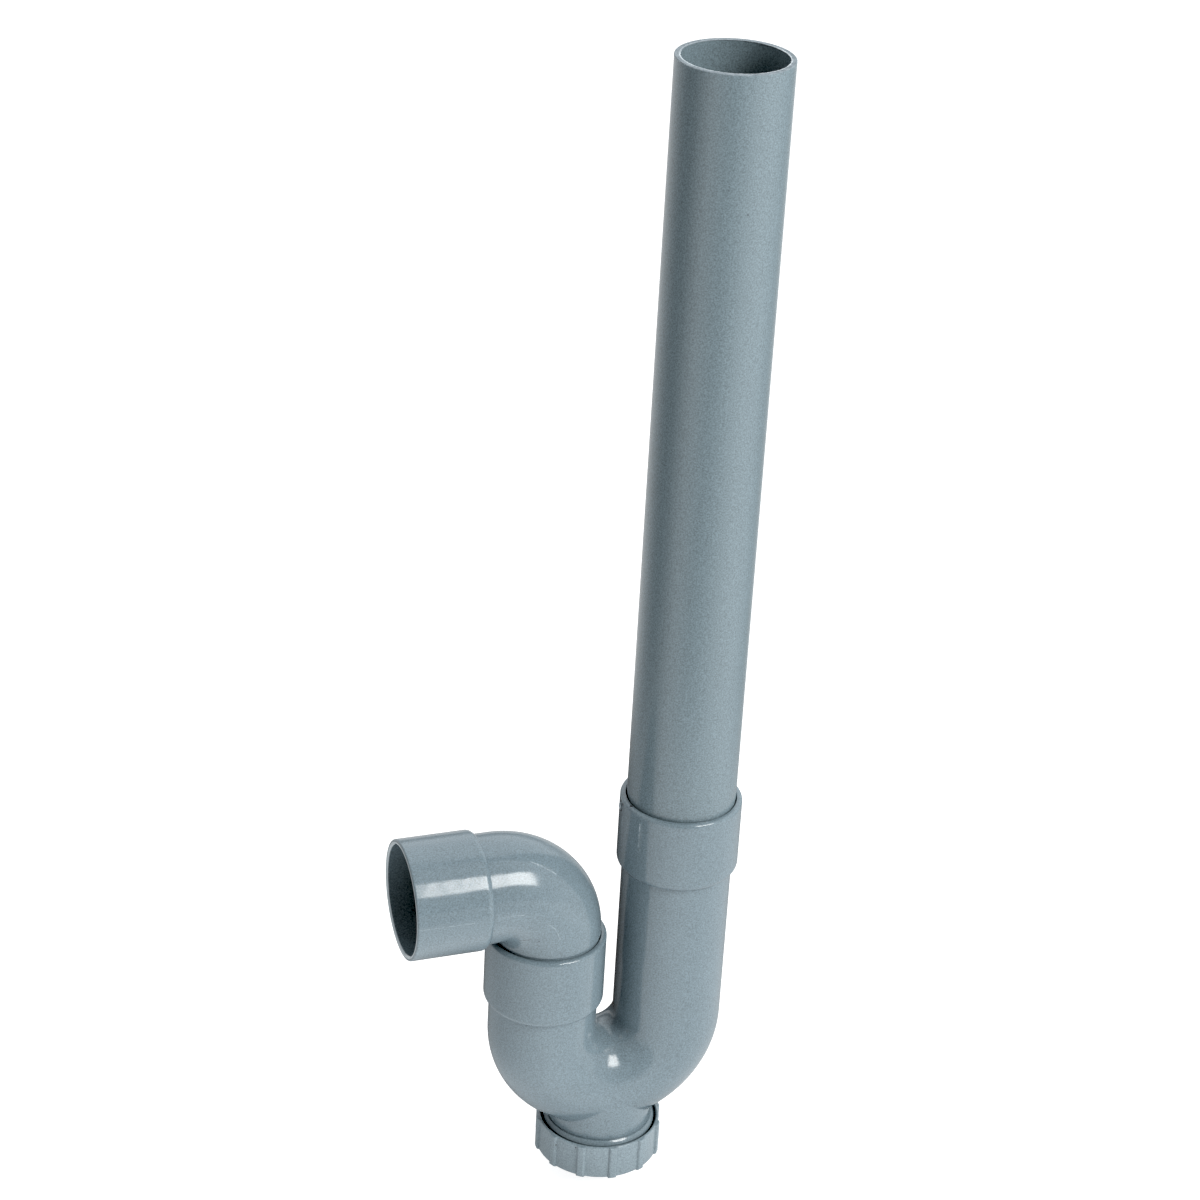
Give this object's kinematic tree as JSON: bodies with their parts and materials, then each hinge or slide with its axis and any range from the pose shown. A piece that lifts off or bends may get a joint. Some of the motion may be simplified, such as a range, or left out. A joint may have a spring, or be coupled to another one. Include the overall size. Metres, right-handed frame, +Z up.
{
  "type": "washing machine trap",
  "caption": "Plastic U-bend waste trap for a washing machine drain hose, with a tall standpipe, a swivelling horizontal outlet socket and a ribbed screw cap under the bend.",
  "frame": {"origin": "centre of the cleaning cap's flat underside, on the surface that the trap stands on", "axes": "+Z up along the standpipe; +X from the outlet leg to the standpipe leg, so the outlet mouth faces -X; Y across the bend"},
  "size_m": [0.1279, 0.0486, 0.4315],
  "materials": {
    "fitting_plastic": "gloss blue-grey moulded PVC",
    "pipe_plastic": "satin blue-grey extruded PVC",
    "cap_plastic": "satin gloss blue-grey moulded PVC",
    "seal_rubber": "matt black"
  },
  "bodies": {
    "trap": {"trap_body": "fitting_plastic", "standpipe": "pipe_plastic"},
    "outlet": {"outlet_elbow": "fitting_plastic"},
    "seal": {"cap_gasket": "seal_rubber"},
    "cap": {"cleanout_cap": "cap_plastic"}
  },
  "joints": [
    {"name": "outlet_swivel", "type": "hinge", "parent": "trap", "child": "outlet", "pos_m": [-0.02487, 0, 0.10156], "axis": [0, 0, 1], "range_deg": [-110, 110]},
    {"name": "cap_travel", "type": "slide", "parent": "trap", "child": "seal", "axis": [0, 0, -1], "range_m": [0, 0.0075]},
    {"name": "cap_turn", "type": "hinge", "parent": "seal", "child": "cap", "pos_m": [0, 0, 0], "axis": [0, 0, -1], "range_deg": [0, 1170]}
  ],
  "couplings": [
    {"joint": "cap_turn", "follows": "cap_travel", "rad_per_m": 2721.2}
  ]
}
